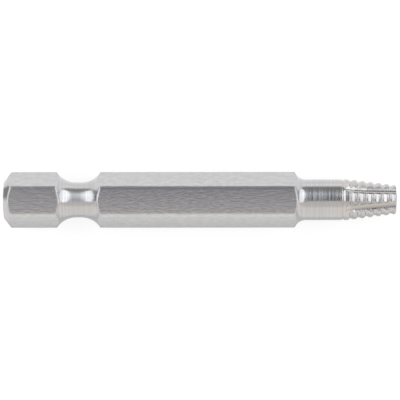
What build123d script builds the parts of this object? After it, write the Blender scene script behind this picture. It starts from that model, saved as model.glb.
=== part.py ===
from build123d import *
import os
from math import cos, radians, tan

# A screw extractor bit in millimetres, turned and ground from one hexagonal steel bar.
# Its axis is X: the face of the drive end lies at X = 0 and the tip points along +X.
# Two of the six flats are level, one up and one down, so that the bit lies on a flat.
# A radius below is measured from the axis, and a place along the bit from the drive end.

OVERALL_LENGTH = 50.0

# Hexagonal shank, the size of a quarter-inch bit drive
HEX_ACROSS_FLATS = 6.3
HEX_CORNER_RADIUS = 0.5

# Drive end: a small round face, a cone that leads into a chuck, and a broken edge between them
END_FACE_DIAMETER = 4.85
END_CONE_ANGLE = 51.5
END_EDGE_BREAK = 0.06

# Detent groove for a chuck's locking balls: a narrow flat floor between two hollow sides
DETENT_PLACE = 9.5
DETENT_FLOOR_DIAMETER = 4.48
DETENT_FLOOR_WIDTH = 0.6
DETENT_SIDE_RADIUS = 3.0

# Shoulder and neck: the hexagon ends in a hollow that runs into the turned neck
SHOULDER_PLACE = 37.0
SHOULDER_RADIUS = 1.5
NECK_DIAMETER = 5.22

# Tapered tip, measured over the crests of its teeth
TIP_END_DIAMETER = 3.79
TIP_HALF_ANGLE = 7.1
TIP_CHAMFER = 0.1

# Ring grooves: they leave saw-toothed rings, steep on the side of the tip
RING_COUNT = 7
RING_PITCH = 1.024
RING_DEPTH = 0.21
RING_ROOT_WIDTH = 0.21
RING_STEEP_ANGLE = 50.0
RING_GENTLE_ANGLE = 28.0
LAST_RING_SETBACK = 0.67

# Flutes: round hollows with a slight left-hand slant. Each is straight from the tip's end, and
# then its floor runs out through the neck in two steps, a gentle one and a steeper one
FLUTE_COUNT = 6
FLUTE_RADIUS = 0.75
FLUTE_CORE_DIAMETER = 3.1
FLUTE_CORE_HALF_ANGLE = 5.6
FLUTE_FIRST_ANGLE = 39.0
FLUTE_SLANT_ANGLE = 3.0
FLUTE_LENGTH = 3.67
FLUTE_RUNOUT_LENGTH = 1.5
FLUTE_RUNOUT_ANGLE = 9.5
FLUTE_EXIT_ANGLE = 18.0

# What follows from the sizes above
END_FACE_RADIUS = END_FACE_DIAMETER / 2
NECK_RADIUS = NECK_DIAMETER / 2
TIP_END_RADIUS = TIP_END_DIAMETER / 2
FLUTE_CORE_RADIUS = FLUTE_CORE_DIAMETER / 2
HEX_SHARP_RADIUS = HEX_ACROSS_FLATS / 2 / cos(radians(30))
SHOULDER_TOP_RADIUS = NECK_RADIUS + SHOULDER_RADIUS
# The turned outline passes outside the hexagon's corners, so that the bar keeps its flats
OUTLINE_RADIUS = max(HEX_SHARP_RADIUS, SHOULDER_TOP_RADIUS) + HEX_CORNER_RADIUS
# How far a cutting shape reaches past the metal
OVERRUN = NECK_RADIUS


def crest_radius(place):
    """Radius of the cone over the ring crests."""
    return TIP_END_RADIUS + (OVERALL_LENGTH - place) * tan(radians(TIP_HALF_ANGLE))


def core_radius(place):
    """Radius at the floor of a flute on its straight stretch."""
    return FLUTE_CORE_RADIUS + (OVERALL_LENGTH - place) * tan(radians(FLUTE_CORE_HALF_ANGLE))


def turned(section):
    """Turns a section drawn as (place, radius) about the bit's axis, starting on the upper flat."""
    return revolve(Plane.XZ * section, Axis.X)


def turned_envelope():
    """End cone, shoulder, neck and tapered tip as one turned solid."""
    cone_end = (OUTLINE_RADIUS - END_FACE_RADIUS) / tan(radians(END_CONE_ANGLE))
    taper_start = OVERALL_LENGTH - (NECK_RADIUS - TIP_END_RADIUS) / tan(radians(TIP_HALF_ANGLE))
    chamfer_start = OVERALL_LENGTH - TIP_CHAMFER
    shank_side = Polyline(
        (SHOULDER_PLACE + SHOULDER_RADIUS, 0),
        (0, 0),
        (0, END_FACE_RADIUS),
        (cone_end, OUTLINE_RADIUS),
        (SHOULDER_PLACE, OUTLINE_RADIUS),
        (SHOULDER_PLACE, SHOULDER_TOP_RADIUS),
    )
    hollow = CenterArc((SHOULDER_PLACE + SHOULDER_RADIUS, SHOULDER_TOP_RADIUS), SHOULDER_RADIUS, 180, 90)
    tip_side = Polyline(
        (SHOULDER_PLACE + SHOULDER_RADIUS, NECK_RADIUS),
        (taper_start, NECK_RADIUS),
        (chamfer_start, crest_radius(chamfer_start)),
        (OVERALL_LENGTH, crest_radius(chamfer_start) - TIP_CHAMFER),
        (OVERALL_LENGTH, 0),
        (SHOULDER_PLACE + SHOULDER_RADIUS, 0),
    )
    outline = make_face(shank_side + hollow + tip_side)
    end_corner = outline.vertices().sort_by_distance((0, END_FACE_RADIUS))[0]
    return turned(chamfer(end_corner, END_EDGE_BREAK))


def hexagonal_bar():
    """The bar's hexagon, with rounded corners and a flat facing up."""
    section = RegularPolygon(HEX_ACROSS_FLATS / 2, 6, major_radius=False)
    section = fillet(section.vertices(), HEX_CORNER_RADIUS)
    return extrude(Plane.YZ * section, OVERALL_LENGTH)


def detent_groove():
    """The ring of air that the locking groove takes out of the shank."""
    centre = (DETENT_PLACE, DETENT_FLOOR_DIAMETER / 2 + DETENT_SIDE_RADIUS)
    section = Pos(*centre) * SlotCenterToCenter(DETENT_FLOOR_WIDTH, 2 * DETENT_SIDE_RADIUS)
    return turned(section)


def ring_groove(place):
    """One groove between two rings, with its narrow root centred on its place along the tip."""
    root_start = place - RING_ROOT_WIDTH / 2
    root_end = place + RING_ROOT_WIDTH / 2
    outside = crest_radius(place) + OVERRUN
    section = Polyline(
        (root_start, crest_radius(root_start) - RING_DEPTH),
        (root_end, crest_radius(root_end) - RING_DEPTH),
        (root_end + (RING_DEPTH + OVERRUN) / tan(radians(RING_GENTLE_ANGLE)), outside),
        (root_start - (RING_DEPTH + OVERRUN) / tan(radians(RING_STEEP_ANGLE)), outside),
        close=True,
    )
    return turned(make_face(section))


def flute(angle):
    """The track of a round-nosed wheel, turned about the axis from straight up towards +Y."""
    centre_offset = FLUTE_RADIUS / cos(radians(FLUTE_CORE_HALF_ANGLE))
    outside = OVERALL_LENGTH + OVERRUN
    turn = OVERALL_LENGTH - FLUTE_LENGTH
    turn_height = core_radius(turn) + centre_offset
    bend = turn - FLUTE_RUNOUT_LENGTH
    bend_height = turn_height + FLUTE_RUNOUT_LENGTH * tan(radians(FLUTE_RUNOUT_ANGLE))
    exit_rise = NECK_RADIUS + OVERRUN
    path = Plane.XZ * Polyline(
        (outside, core_radius(outside) + centre_offset),
        (turn, turn_height),
        (bend, bend_height),
        (bend - exit_rise / tan(radians(FLUTE_EXIT_ANGLE)), bend_height + exit_rise),
    )
    section = Plane(path @ 0, z_dir=path % 0) * Circle(FLUTE_RADIUS)
    track = sweep(section, path, transition=Transition.RIGHT)
    middle = Pos(X=OVERALL_LENGTH - FLUTE_LENGTH / 2)
    slant = middle * Rot(Z=FLUTE_SLANT_ANGLE) * middle.inverse()
    return Rot(X=-angle) * slant * track


def extractor_bit():
    """The whole bit: turned envelope cut to the hexagon, then grooved and fluted."""
    bit = turned_envelope() & hexagonal_bar()
    bit -= detent_groove()
    last_place = OVERALL_LENGTH - LAST_RING_SETBACK
    bit -= [ring_groove(last_place - index * RING_PITCH) for index in range(RING_COUNT)]
    bit -= [flute(FLUTE_FIRST_ANGLE + index * 360 / FLUTE_COUNT) for index in range(FLUTE_COUNT)]
    return bit


os.makedirs("parts", exist_ok=True)
export_step(extractor_bit().solid(), "parts/extractor_bit.step")
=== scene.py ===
# %% [markdown]
# # A screw extractor bit, lying on a white table
#
# The bit is one piece of steel: a hexagonal shank that fits a quarter-inch bit holder, a groove for
# the holder's locking balls, a turned neck, and a tapered tip with saw-toothed rings and six flutes.
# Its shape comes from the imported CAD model. This lesson sets up the camera and a small studio, and
# then gives the steel the finishes that its tools left: drawn flats, turned rings and ground flutes.
# Every length in the scene is in metres.

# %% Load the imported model
from math import cos, pi, radians, sin

import bmesh
import bpy
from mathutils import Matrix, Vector


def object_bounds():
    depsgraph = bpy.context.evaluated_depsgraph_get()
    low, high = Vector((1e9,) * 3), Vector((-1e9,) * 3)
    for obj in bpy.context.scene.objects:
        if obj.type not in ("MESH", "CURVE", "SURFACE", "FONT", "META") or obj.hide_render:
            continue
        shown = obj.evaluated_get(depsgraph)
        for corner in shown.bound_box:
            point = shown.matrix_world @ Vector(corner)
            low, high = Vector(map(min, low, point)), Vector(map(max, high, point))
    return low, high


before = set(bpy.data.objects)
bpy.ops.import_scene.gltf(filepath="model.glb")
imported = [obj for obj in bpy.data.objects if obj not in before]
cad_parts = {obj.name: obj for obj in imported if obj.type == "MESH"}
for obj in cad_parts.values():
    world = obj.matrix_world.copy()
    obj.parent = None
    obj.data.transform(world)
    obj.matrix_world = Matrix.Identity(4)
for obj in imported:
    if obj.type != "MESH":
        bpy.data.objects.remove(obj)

MM = 0.001
cad_low, cad_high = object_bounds()
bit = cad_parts["extractor_bit"]
print("bit from", [round(v / MM, 2) for v in cad_low], "to", [round(v / MM, 2) for v in cad_high], "mm")

# %% [markdown]
# ## The camera
#
# The photograph looks straight down on the bit, with the drive end at the left and the tip at the
# right. The upper flat leans a few degrees away from the lens, so the camera stands a little
# towards +Y. A long lens at arm's length gives the mild perspective that the two ends show. The
# same view could be had with the bit turned under an upright camera, but the bit stays where the
# CAD model has it, so the camera leans instead.

# %% Place the camera over the middle of the bit
CAMERA_DISTANCE = 0.300
CAMERA_LEAN = radians(3.0)
CAMERA_ROLL = radians(-0.05)
VIEW_CENTRE = Vector((25.01 * MM, -0.024 * MM, 0.0))
VIEW_WIDTH = 51.15 * MM

camera_data = bpy.data.cameras.new("camera")
camera_data.sensor_width = 36.0
camera_data.lens = camera_data.sensor_width * CAMERA_DISTANCE / VIEW_WIDTH
camera_data.clip_start = 0.01
camera_data.clip_end = 10.0
camera = bpy.data.objects.new("camera", camera_data)
camera.location = VIEW_CENTRE + CAMERA_DISTANCE * Vector((0.0, sin(CAMERA_LEAN), cos(CAMERA_LEAN)))
camera.rotation_euler = (-CAMERA_LEAN, 0.0, CAMERA_ROLL)
bpy.context.scene.collection.objects.link(camera)
bpy.context.scene.camera = camera
print("lens", round(camera_data.lens, 1), "mm")

# %% [markdown]
# ## Helpers for node trees
#
# The table, the room and the steel are each a tree of nodes. A tree can be wired by hand in the
# editor, where it soon becomes a maze. In a script, a few helpers let it read like a recipe: one
# adds a node, one fills a socket with a number or with another node's output, one does arithmetic,
# and one takes a place or a direction apart.

# %% Helpers that add and join nodes
def add_node(tree, kind, **settings):
    """Adds a node of one kind and sets its properties."""
    made = tree.nodes.new(kind)
    for name, value in settings.items():
        setattr(made, name, value)
    return made


def feed(tree, socket, value):
    """Puts a number, a colour or another node's output into a socket."""
    if isinstance(value, bpy.types.NodeSocket):
        tree.links.new(value, socket)
    else:
        socket.default_value = value


def calc(tree, operation, *values):
    """One step of arithmetic on numbers or sockets."""
    made = add_node(tree, "ShaderNodeMath", operation=operation)
    for socket, value in zip(made.inputs, values):
        feed(tree, socket, value)
    return made.outputs[0]


def axes_of(tree, vector):
    """A place or a direction as three numbers, along X, Y and Z."""
    made = add_node(tree, "ShaderNodeSeparateXYZ")
    tree.links.new(vector, made.inputs[0])
    return tuple(made.outputs)


print("helpers ready: add_node, feed, calc, axes_of")

# %% [markdown]
# Light and wear change softly from place to place. So the next helpers blend: a soft step between
# two places, a mix of two numbers or two colours, and a row of stops with a straight blend from
# each to the next, which a Color Ramp does for colours and, with greys, for plain numbers too.

# %% Helpers that blend
def ramp_between(tree, value, low, high, result_low=0.0, result_high=1.0):
    """A soft step: result_low below low, result_high above high."""
    made = add_node(tree, "ShaderNodeMapRange", interpolation_type="SMOOTHSTEP")
    feed(tree, made.inputs["Value"], value)
    made.inputs["From Min"].default_value = low
    made.inputs["From Max"].default_value = high
    made.inputs["To Min"].default_value = result_low
    made.inputs["To Max"].default_value = result_high
    return made.outputs["Result"]


def mix(tree, kind, factor, first, second):
    """Blends two numbers, vectors or colours, by a Mix node of that kind."""
    made = add_node(tree, "ShaderNodeMix", data_type=kind)
    inputs = [socket for socket in made.inputs if socket.enabled]
    for socket, value in zip(inputs, (factor, first, second)):
        feed(tree, socket, value)
    return next(socket for socket in made.outputs if socket.enabled)


def tones(tree, value, stops):
    """Blends from one colour to the next as a value passes the stops, each given as (value, colour)."""
    lowest, highest = stops[0][0], stops[-1][0]
    share = add_node(tree, "ShaderNodeMapRange")
    feed(tree, share.inputs["Value"], value)
    share.inputs["From Min"].default_value = lowest
    share.inputs["From Max"].default_value = highest
    made = add_node(tree, "ShaderNodeValToRGB")
    tree.links.new(share.outputs["Result"], made.inputs["Fac"])
    elements = made.color_ramp.elements
    while len(elements) < len(stops):
        elements.new(1.0)
    for element, (at, colour) in zip(elements, stops):
        element.position = (at - lowest) / (highest - lowest)
        element.color = (*colour, 1.0)
    return made.outputs["Color"]


def stepped(tree, value, stops):
    """The same for plain numbers, each stop given as (value, number)."""
    return tones(tree, value, [(at, (number,) * 3) for at, number in stops])


print("helpers ready: ramp_between, mix, tones, stepped")

# %% [markdown]
# ## The table
#
# The bit rests on its lower flat on a white table. A thin box would do, but only the upper side
# shows, so it is one sheet from a single bmesh operator, at the height of the lowest flat.

# %% A sheet for the table
TABLE_SIZE = 3.0

sheet = bmesh.new()
bmesh.ops.create_grid(sheet, x_segments=1, y_segments=1, size=TABLE_SIZE / 2)
bmesh.ops.translate(sheet, vec=(VIEW_CENTRE.x, 0.0, cad_low.z), verts=sheet.verts)
table_mesh = bpy.data.meshes.new("table")
sheet.to_mesh(table_mesh)
sheet.free()
table = bpy.data.objects.new("table", table_mesh)
bpy.context.scene.collection.objects.link(table)
print("table at", round(cad_low.z / MM, 2), "mm")

# %% [markdown]
# ### Dark wedges past the two ends
#
# Bare steel mirrors the table, and a table as even as paper would leave it plain grey. In a studio,
# black cards are laid beside such a bit. The leading cone of the real bit mirrors one as a dark
# crescent. The card could be modelled, but then it would stand in other views. So it is only a
# share between 0 and 1 that darkens what the steel sees, in a wedge past each end. The room needs
# the same wedge further on, so this is a helper.

# %% A wedge past either end
WEDGE_FRONT = (-3.0, 9.0)
WEDGE_BACK = (28.0, 38.0)


def towards_dark_ends(tree, past_end, to_back):
    """1 in the wedge beyond either end of the bit, from level with it to a little behind, else 0."""
    turn = calc(tree, "DEGREES", calc(tree, "ARCTAN2", to_back, past_end))
    behind_front = ramp_between(tree, turn, *WEDGE_FRONT)
    before_back = ramp_between(tree, turn, *WEDGE_BACK, 1.0, 0.0)
    return calc(tree, "MULTIPLY", behind_front, before_back)


print("wedges from", WEDGE_FRONT[0], "to", WEDGE_BACK[1], "degrees")

# %% [markdown]
# ### What the steel sees of the table
#
# The flats and the neck of the real bit show soft bands, which shades round the table draw. Here
# the table's own glow paints them, as painted light and shade that the steel mirrors. Its strength
# follows a row of stops by the distance from the bit's axis: darker close in front, where it paints
# the bit's shadow, and lighter close behind, where the upper slanted flat and the top of the neck
# look. Past the two ends it is even, apart from the dark wedges. The sheet sits at the origin, so
# its Object coordinates are places in the scene.

# %% The glow of the table beside the bit and past its ends
HALF_LENGTH = 25.0
# The stops are painted light and shade: the low ones close in front are a painted shadow of the bit.
GLOW_AND_PAINTED_SHADOW_BESIDE = (
    (-40, 0.66), (-15, 0.60), (-11.5, 0.58), (-8.7, 0.32), (-6, 0.42), (-3.5, 0.44),
    (3.5, 0.76), (8, 0.68), (12, 0.58), (20, 0.70), (40, 0.78),
)
GLOW_PAST_ENDS = 0.66
PAST_ENDS = (1.0, 5.0)
WEDGE_STARTS = (2.0, 7.0)


def glow_seen_by_steel(tree):
    """The table's glow by its place, in millimetres from the bit's middle."""
    x, y, _ = axes_of(tree, add_node(tree, "ShaderNodeTexCoord").outputs["Object"])
    to_back = calc(tree, "DIVIDE", y, MM)
    from_middle = calc(tree, "ABSOLUTE", calc(tree, "SUBTRACT", calc(tree, "DIVIDE", x, MM), HALF_LENGTH))
    past_end = calc(tree, "SUBTRACT", from_middle, HALF_LENGTH)
    glow = mix(tree, "FLOAT", ramp_between(tree, past_end, *PAST_ENDS),
               stepped(tree, to_back, GLOW_AND_PAINTED_SHADOW_BESIDE), GLOW_PAST_ENDS)
    wedge = calc(tree, "MULTIPLY", towards_dark_ends(tree, past_end, to_back),
                 ramp_between(tree, past_end, *WEDGE_STARTS))
    return calc(tree, "MULTIPLY", glow, calc(tree, "SUBTRACT", 1.0, wedge))


print("glow has", len(GLOW_AND_PAINTED_SHADOW_BESIDE), "stops beside the bit")

# %% [markdown]
# ### The table's finish
#
# The sheet is matt white where the studio's light falls on it and bounces on. A lit sheet never
# quite reaches paper white, so the camera sees less of the matt shade and a glow on top of it, and
# the bit keeps a faint soft shadow. More lamps would whiten it too, but they would burn out the
# steel. Light Path tells the camera's rays and the mirrored ones from the rays that light the bit,
# so neither glow adds any light.

# %% Matt white with a glow
MATT_WHITE = (0.80, 0.80, 0.80, 1.0)
MATT_IN_VIEW = (0.36, 0.36, 0.36, 1.0)
GLOW_SEEN_BY_CAMERA = 0.74

white_table = bpy.data.materials.new("white_table")
white_table.use_nodes = True
tree = white_table.node_tree
tree.nodes.clear()
rays = add_node(tree, "ShaderNodeLightPath").outputs
mirrored = calc(tree, "MAXIMUM", rays["Is Glossy Ray"], rays["Is Transmission Ray"])
in_view = calc(tree, "MAXIMUM", rays["Is Camera Ray"], mirrored)
matt = add_node(tree, "ShaderNodeBsdfDiffuse")
feed(tree, matt.inputs["Color"], mix(tree, "RGBA", in_view, MATT_WHITE, MATT_IN_VIEW))
glow = add_node(tree, "ShaderNodeEmission")
feed(tree, glow.inputs["Strength"], calc(tree, "MULTIPLY_ADD", rays["Is Camera Ray"], GLOW_SEEN_BY_CAMERA,
                                         calc(tree, "MULTIPLY", mirrored, glow_seen_by_steel(tree))))
both = add_node(tree, "ShaderNodeAddShader")
tree.links.new(matt.outputs[0], both.inputs[0])
tree.links.new(glow.outputs[0], both.inputs[1])
tree.links.new(both.outputs[0], add_node(tree, "ShaderNodeOutputMaterial").inputs["Surface"])
table_mesh.materials.append(white_table)
print("table finished in", len(tree.nodes), "nodes")

# %% [markdown]
# ## The room around the table
#
# Bare steel shows what surrounds it, so the room matters as much as the lamps. A picture of a real
# studio could wrap the scene, but the bit lies along X, so one angle counts most: the angle from
# straight up towards the back. A row of tones is set out along it, and the room blends from one to
# the next. In front the room is light and a little warm, overhead it is dim, and behind there is a
# pale blue band, then dim walls, then a bright horizon. They draw the dark bands and the blue
# streak along the neck, and the shade of the flat that faces up. Low past the two ends the room
# carries on the table's dark wedges, so that the crescent on the cone has no bright rim.

# %% The room as a row of tones
ROOM_TONES = (
    (-90, (0.98, 0.96, 0.94)), (-66, (0.96, 0.93, 0.90)), (-47, (0.98, 0.94, 0.90)),
    (-40, (0.86, 0.83, 0.80)), (-33, (0.76, 0.73, 0.71)), (-18, (0.75, 0.73, 0.73)),
    (-12, (0.66, 0.66, 0.66)), (-6.5, (0.50, 0.50, 0.51)), (-1, (0.27, 0.27, 0.29)),
    (6, (0.19, 0.19, 0.21)), (25, (0.16, 0.16, 0.18)), (30, (0.25, 0.27, 0.31)),
    (35, (0.34, 0.37, 0.43)), (42, (0.28, 0.30, 0.34)), (50, (0.26, 0.26, 0.28)),
    (70, (0.27, 0.27, 0.28)), (78, (0.31, 0.31, 0.31)), (84, (0.57, 0.57, 0.57)),
    (90, (1.10, 1.10, 1.10)),
)
WEDGE_HEIGHT = (0.35, 0.5)
WEDGE_DARKNESS = 0.8

world = bpy.data.worlds.new("room")
world.use_nodes = True
bpy.context.scene.world = world
room = world.node_tree
room.nodes.clear()
to_end, to_back, to_top = axes_of(room, add_node(room, "ShaderNodeTexCoord").outputs["Generated"])
from_top = calc(room, "DEGREES", calc(room, "ARCTAN2", to_back, to_top))
wedge = calc(room, "MULTIPLY", towards_dark_ends(room, calc(room, "ABSOLUTE", to_end), to_back),
             ramp_between(room, to_top, *WEDGE_HEIGHT, 1.0, 0.0))
background = add_node(room, "ShaderNodeBackground")
feed(room, background.inputs["Color"], tones(room, from_top, ROOM_TONES))
feed(room, background.inputs["Strength"], calc(room, "MULTIPLY_ADD", wedge, -WEDGE_DARKNESS, 1.0))
room.links.new(background.outputs[0], add_node(room, "ShaderNodeOutputWorld").inputs["Surface"])
print("room has", len(ROOM_TONES), "tones")

# %% [markdown]
# ## The softboxes
#
# Two round softboxes stand behind the bit, one towards each end, and lean over it. They light the
# table evenly, and the steel mirrors them as the two round spots in the groove, the streak at the
# shoulder and the bars on the tip's rings. Small bright lamps would give crisper spots, but a flat
# that mirrors one from another side would burn out. Large dim ones keep its marks, so they are used.

# %% Two softboxes
SOFTBOX_DISTANCE = 0.60
SOFTBOX_DIAMETER = 0.71
SOFTBOX_RADIANCE = 1.42
SOFTBOX_COLOUR = (0.97, 1.0, 1.03)


def softbox(name, azimuth, elevation):
    """A round area lamp that faces the bit, turned from +X towards +Y by its azimuth in degrees."""
    data = bpy.data.lights.new(name, "AREA")
    data.shape = "DISK"
    data.size = SOFTBOX_DIAMETER
    data.color = SOFTBOX_COLOUR
    data.energy = SOFTBOX_RADIANCE * pi * (pi / 4) * SOFTBOX_DIAMETER ** 2
    towards = Vector((
        cos(radians(elevation)) * cos(radians(azimuth)),
        cos(radians(elevation)) * sin(radians(azimuth)),
        sin(radians(elevation)),
    ))
    lamp = bpy.data.objects.new(name, data)
    lamp.location = VIEW_CENTRE + towards * SOFTBOX_DISTANCE
    lamp.rotation_mode = "QUATERNION"
    lamp.rotation_quaternion = towards.to_track_quat("Z", "Y")
    bpy.context.scene.collection.objects.link(lamp)
    print(name, "gives", round(data.energy, 2), "W")


softbox("softbox_tip_side", azimuth=26.0, elevation=35.0)
softbox("softbox_drive_side", azimuth=149.0, elevation=41.0)

# %% [markdown]
# ## The steel
#
# The whole bit is one bare alloy steel, but each region kept the marks of its own tool. The mesh
# could be cut into faces with a material each, but every seam would then be a hard line. Here one
# material holds all the finishes and tells the regions apart by their place, in millimetres along
# the bit from its drive end, and away from its axis.

# %% Where a point lies on the bit
steel = bpy.data.materials.new("bare_steel")
steel.use_nodes = True
tree = steel.node_tree
tree.nodes.clear()
coordinates = add_node(tree, "ShaderNodeTexCoord").outputs
in_mm = add_node(tree, "ShaderNodeVectorMath", operation="SCALE")
tree.links.new(coordinates["Object"], in_mm.inputs[0])
in_mm.inputs["Scale"].default_value = 1 / MM
place = in_mm.outputs[0]
along, across, up = axes_of(tree, place)
radius = calc(tree, "SQRT", calc(tree, "ADD", calc(tree, "POWER", across, 2.0), calc(tree, "POWER", up, 2.0)))
print("places ready: along, across, up, radius")

# %% [markdown]
# ### The drawn hexagon
#
# The bar was drawn through a hexagonal die before anything else was cut, and its flats still show
# that. A point is on the drawn surface where its distance towards the nearest flat is half the
# width across flats, or a little less at a rounded corner, and where the steel doesn't turn towards
# either end, as the cone and the groove's sides do. By the hexagon's symmetry, two distances cover
# all six flats: straight up or down, and towards a slanted flat.

# %% The drawn region
ACROSS_FLATS = 6.3
CORNER_DEPTH = 0.08
DRAWN_FROM = ACROSS_FLATS / 2 - CORNER_DEPTH
DRAWN_BLEND = 0.01
TURNS_TO_END = (0.1, 0.3)

sideways = calc(tree, "ABSOLUTE", across)
upright = calc(tree, "ABSOLUTE", up)
slanted = calc(tree, "ADD", calc(tree, "MULTIPLY", upright, sin(radians(30))),
               calc(tree, "MULTIPLY", sideways, cos(radians(30))))
flat_distance = calc(tree, "MAXIMUM", upright, slanted)
facing_end = calc(tree, "ABSOLUTE", axes_of(tree, coordinates["Normal"])[0])
drawn = calc(tree, "MULTIPLY",
             ramp_between(tree, flat_distance, DRAWN_FROM - DRAWN_BLEND, DRAWN_FROM),
             ramp_between(tree, facing_end, *TURNS_TO_END, 1.0, 0.0))
print("drawn region from", round(DRAWN_FROM, 2), "mm out towards a flat")

# %% [markdown]
# ### The flutes and the floor of the groove
#
# A flute lies deeper under the cone over the teeth than the ring grooves do, so its depth there
# tells it from the turned steel. The floor of the detent groove is the thinnest place of the shank.
# Each has a soft edge, a few hundredths of a millimetre wide.

# %% The flutes and the groove's floor
CREST_RADIUS_AT_START = 8.125
CREST_SLOPE = 0.1246
FLUTE_DEPTH = (0.23, 0.30)
FLUTES_START = (42.0, 44.0)
FLOOR_RADIUS = (2.28, 2.42)
GROOVE_ENDS = (18.0, 20.0)

crest_radius = calc(tree, "MULTIPLY_ADD", along, -CREST_SLOPE, CREST_RADIUS_AT_START)
under_crests = calc(tree, "SUBTRACT", crest_radius, radius)
in_flute = calc(tree, "MULTIPLY", ramp_between(tree, under_crests, *FLUTE_DEPTH),
                ramp_between(tree, along, *FLUTES_START))
groove_floor = calc(tree, "MULTIPLY", ramp_between(tree, radius, *FLOOR_RADIUS, 1.0, 0.0),
                    ramp_between(tree, along, *GROOVE_ENDS, 1.0, 0.0))
print("flutes deeper than", FLUTE_DEPTH[0], "mm, groove floor inside", FLOOR_RADIUS[1], "mm")

# %% [markdown]
# ### The marks of each tool
#
# A lathe leaves fine rings of uneven strength, and drawing leaves short scratches along the bar
# over broad faint patches. Scratches could be painted as an image, but noise needs none, and its
# grain fits any size. The rings read only the places along and out from the axis, so they close
# all round. The scratches read a place that is squeezed less along the bar than across it, which
# draws them out lengthwise.

# %% Rings, scratches and patches
RING_GRAIN = 4.5
RING_CONTRAST = (0.36, 0.64)
SCRATCH_STRETCH = (1.5, 5.0, 5.0)
PATCH_STRETCH = (1.0, 2.0, 2.0)
PATCH_GRAIN = 1.1


def noise(tree, vector, scale, detail, roughness):
    """Noise between 0 and 1, the same each time, at a place in the material."""
    made = add_node(tree, "ShaderNodeTexNoise", noise_dimensions="3D")
    tree.links.new(vector, made.inputs["Vector"])
    made.inputs["Scale"].default_value = scale
    made.inputs["Detail"].default_value = detail
    made.inputs["Roughness"].default_value = roughness
    return made.outputs["Fac"]


def stretched(tree, vector, scales):
    """The place with its three axes scaled, so that noise is drawn out along one of them."""
    made = add_node(tree, "ShaderNodeVectorMath", operation="MULTIPLY")
    tree.links.new(vector, made.inputs[0])
    made.inputs[1].default_value = scales
    return made.outputs[0]


ring_place = add_node(tree, "ShaderNodeCombineXYZ")
feed(tree, ring_place.inputs["X"], along)
feed(tree, ring_place.inputs["Y"], calc(tree, "MULTIPLY", radius, 0.5))
rings = noise(tree, ring_place.outputs[0], RING_GRAIN, detail=4.0, roughness=0.7)
rings = ramp_between(tree, rings, *RING_CONTRAST)
scratches = noise(tree, stretched(tree, place, SCRATCH_STRETCH), 1.0, detail=2.0, roughness=0.6)
patches = noise(tree, stretched(tree, place, PATCH_STRETCH), PATCH_GRAIN, detail=3.0, roughness=0.6)
print("marks ready: rings, scratches, patches")

# %% [markdown]
# ### Tint
#
# Steel has nearly no colour of its own, but its shade shows what cut it. The drawn skin is the
# lightest. Turned steel is a little darker, the tip is slightly warmer from hardening, and the
# ground flutes are the darkest. Each tint is a pair, light and dark, that follows the marks.

# %% The tint of each region
DRAWN_LIGHT = (0.685, 0.675, 0.673, 1.0)
DRAWN_DARK = (0.620, 0.610, 0.608, 1.0)
TURNED_LIGHT = (0.615, 0.607, 0.606, 1.0)
TURNED_DARK = (0.565, 0.557, 0.555, 1.0)
TIP_LIGHT = (0.628, 0.605, 0.593, 1.0)
TIP_DARK = (0.578, 0.556, 0.544, 1.0)
FLUTE_TINT = (0.540, 0.518, 0.500, 1.0)
TIP_STARTS = (41.5, 43.0)
PATCH_SHARE = 0.4
STREAK_CONTRAST = (0.38, 0.62)

streaks = calc(tree, "MULTIPLY_ADD", patches, PATCH_SHARE, calc(tree, "MULTIPLY", scratches, 1 - PATCH_SHARE))
streaks = ramp_between(tree, streaks, *STREAK_CONTRAST)
drawn_tint = mix(tree, "RGBA", streaks, DRAWN_LIGHT, DRAWN_DARK)
turned_tint = mix(tree, "RGBA", ramp_between(tree, along, *TIP_STARTS),
                  mix(tree, "RGBA", rings, TURNED_LIGHT, TURNED_DARK),
                  mix(tree, "RGBA", rings, TIP_LIGHT, TIP_DARK))
tint = mix(tree, "RGBA", drawn, turned_tint, drawn_tint)
tint = mix(tree, "RGBA", in_flute, tint, FLUTE_TINT)
print("tints ready for flats, turned steel, tip and flutes")

# %% [markdown]
# ### Gloss
#
# Roughness says how far a reflection spreads. The cone and the neck are bright from a sharp tool.
# On the neck the rings differ much in gloss, and each spreads the softboxes by its own amount,
# which gives the neck its light and dark streaks. The groove is duller, above all on its floor,
# where the tool dwelt. The flats are satin. Bumps alone could not do this: they are finer than the
# picture's grain and would only average out.

# %% The roughness of each region
# Stops by the place along the bit: the cone up to 3 mm, the groove between 5 and 20, then the neck
TURNED_ROUGHNESS = ((0, 0.10), (3, 0.10), (5, 0.16), (20, 0.16), (30, 0.105), (50, 0.105))
RINGS_IN_GROOVE = 0.05
RINGS_ON_NECK = 0.18
GROOVE_TO_NECK = (20.0, 30.0)
FLOOR_ROUGHNESS = 0.28
DRAWN_ROUGHNESS = 0.19
PATCH_ROUGHNESS = 0.08

ring_share = ramp_between(tree, along, *GROOVE_TO_NECK, RINGS_IN_GROOVE, RINGS_ON_NECK)
turned_roughness = calc(tree, "MULTIPLY_ADD", rings, ring_share, stepped(tree, along, TURNED_ROUGHNESS))
turned_roughness = mix(tree, "FLOAT", groove_floor, turned_roughness, FLOOR_ROUGHNESS)
drawn_roughness = calc(tree, "MULTIPLY_ADD", patches, PATCH_ROUGHNESS, DRAWN_ROUGHNESS)
roughness = mix(tree, "FLOAT", drawn, turned_roughness, drawn_roughness)
print("rings add up to", RINGS_ON_NECK, "to the neck's roughness")

# %% [markdown]
# ### Height
#
# The marks have a depth of a few thousandths of a millimetre, far too fine for the mesh, so they
# are a bump. The flats aren't quite flat either. Drawing leaves each a little crowned, highest
# along its middle line, and that shades the top flat from dark to light across its width. The
# squared distance from the middle line is the squared radius less the squared distance to the flat.

# %% The height of the marks, in thousandths of a millimetre
SCRATCH_HEIGHT = 24.0
PATCH_HEIGHT = 5.0
CROWN = 15.0
RING_HEIGHT = ((0, 2.0), (20, 2.0), (30, 3.5), (43, 3.5), (44.5, 4.0), (50, 4.0))

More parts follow.
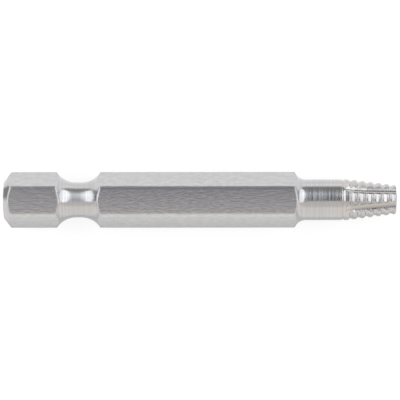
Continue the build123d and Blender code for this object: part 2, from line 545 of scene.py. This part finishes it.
from_middle_squared = calc(tree, "SUBTRACT", calc(tree, "POWER", radius, 2.0),
                           calc(tree, "POWER", flat_distance, 2.0))
drawn_height = calc(tree, "ADD", calc(tree, "MULTIPLY", scratches, SCRATCH_HEIGHT),
                    calc(tree, "MULTIPLY", patches, PATCH_HEIGHT))
drawn_height = calc(tree, "MULTIPLY_ADD", from_middle_squared, -CROWN, drawn_height)
turned_height = calc(tree, "MULTIPLY", rings, stepped(tree, along, RING_HEIGHT))
height = mix(tree, "FLOAT", drawn, turned_height, drawn_height)
print("scratches up to", SCRATCH_HEIGHT, "thousandths of a millimetre")

# %% [markdown]
# ### Edges
#
# No edge of a tool is razor sharp: handling and tumbling break it, and the broken edge catches a
# thin line of light. A Bevel node rounds the shading there and leaves the mesh as the CAD model has
# it. Its radius is wide on the shank and small on the tip, whose teeth must stay crisp. The bump
# goes on top of it.

# %% Broken edges under the bump
SHANK_EDGE = 0.32
TIP_EDGE = 0.10
EDGES_GET_FINER = (38.0, 40.0)

broken_edge = add_node(tree, "ShaderNodeBevel", samples=6)
feed(tree, broken_edge.inputs["Radius"],
     ramp_between(tree, along, *EDGES_GET_FINER, SHANK_EDGE * MM, TIP_EDGE * MM))
bump = add_node(tree, "ShaderNodeBump")
bump.inputs["Strength"].default_value = 1.0
bump.inputs["Distance"].default_value = 0.001 * MM
feed(tree, bump.inputs["Height"], height)
tree.links.new(broken_edge.outputs[0], bump.inputs["Normal"])
print("edges of", SHANK_EDGE, "mm on the shank and", TIP_EDGE, "mm on the tip")

# %% [markdown]
# ### The direction of the marks
#
# Fine marks spread a reflection across themselves, which the shader calls anisotropic. Turned rings
# run round the bit, so they spread it lengthwise. Drawn scratches run lengthwise, so they spread it
# crosswise. On the two round ends the lengthwise direction points out of the steel, so a small
# share of the direction away from the axis is added, which takes over there and makes their rings.

# %% The way that each region spreads light
AWAY_FROM_AXIS = 0.05

lengthwise = add_node(tree, "ShaderNodeCombineXYZ")
lengthwise.inputs["X"].default_value = 1.0
feed(tree, lengthwise.inputs["Y"], calc(tree, "MULTIPLY", across, AWAY_FROM_AXIS))
feed(tree, lengthwise.inputs["Z"], calc(tree, "MULTIPLY", up, AWAY_FROM_AXIS))
crosswise = add_node(tree, "ShaderNodeVectorMath", operation="CROSS_PRODUCT")
tree.links.new(lengthwise.outputs[0], crosswise.inputs[0])
tree.links.new(coordinates["Normal"], crosswise.inputs[1])
spread = mix(tree, "VECTOR", drawn, lengthwise.outputs[0], crosswise.outputs[0])
print("directions ready")

# %% [markdown]
# ### The shader
#
# One metal shader takes it all in. What is the same all over the bit, that it is metal and how
# strongly its marks stretch a reflection, is set on the shader's own sockets. What changes from
# place to place comes from the nodes.

# %% Bare steel on the bit
shader = add_node(tree, "ShaderNodeBsdfPrincipled")
shader.inputs["Metallic"].default_value = 1.0
shader.inputs["Anisotropic"].default_value = 0.9
feed(tree, shader.inputs["Base Color"], tint)
feed(tree, shader.inputs["Roughness"], roughness)
feed(tree, shader.inputs["Tangent"], spread)
feed(tree, shader.inputs["Normal"], bump.outputs[0])
tree.links.new(shader.outputs[0], add_node(tree, "ShaderNodeOutputMaterial").inputs["Surface"])
for slot in bit.material_slots:
    slot.material = steel
print("steel on", len(bit.material_slots), "slot, in", len(tree.nodes), "nodes")

# %% [markdown]
# ## Last step
#
# The steel's finish lies on the CAD model's own shape, so the finished model keeps the CAD model's
# size. The last step shows the colours through the plain Standard view transform.

# %% Set the view transform
bpy.context.scene.view_settings.view_transform = "Standard"
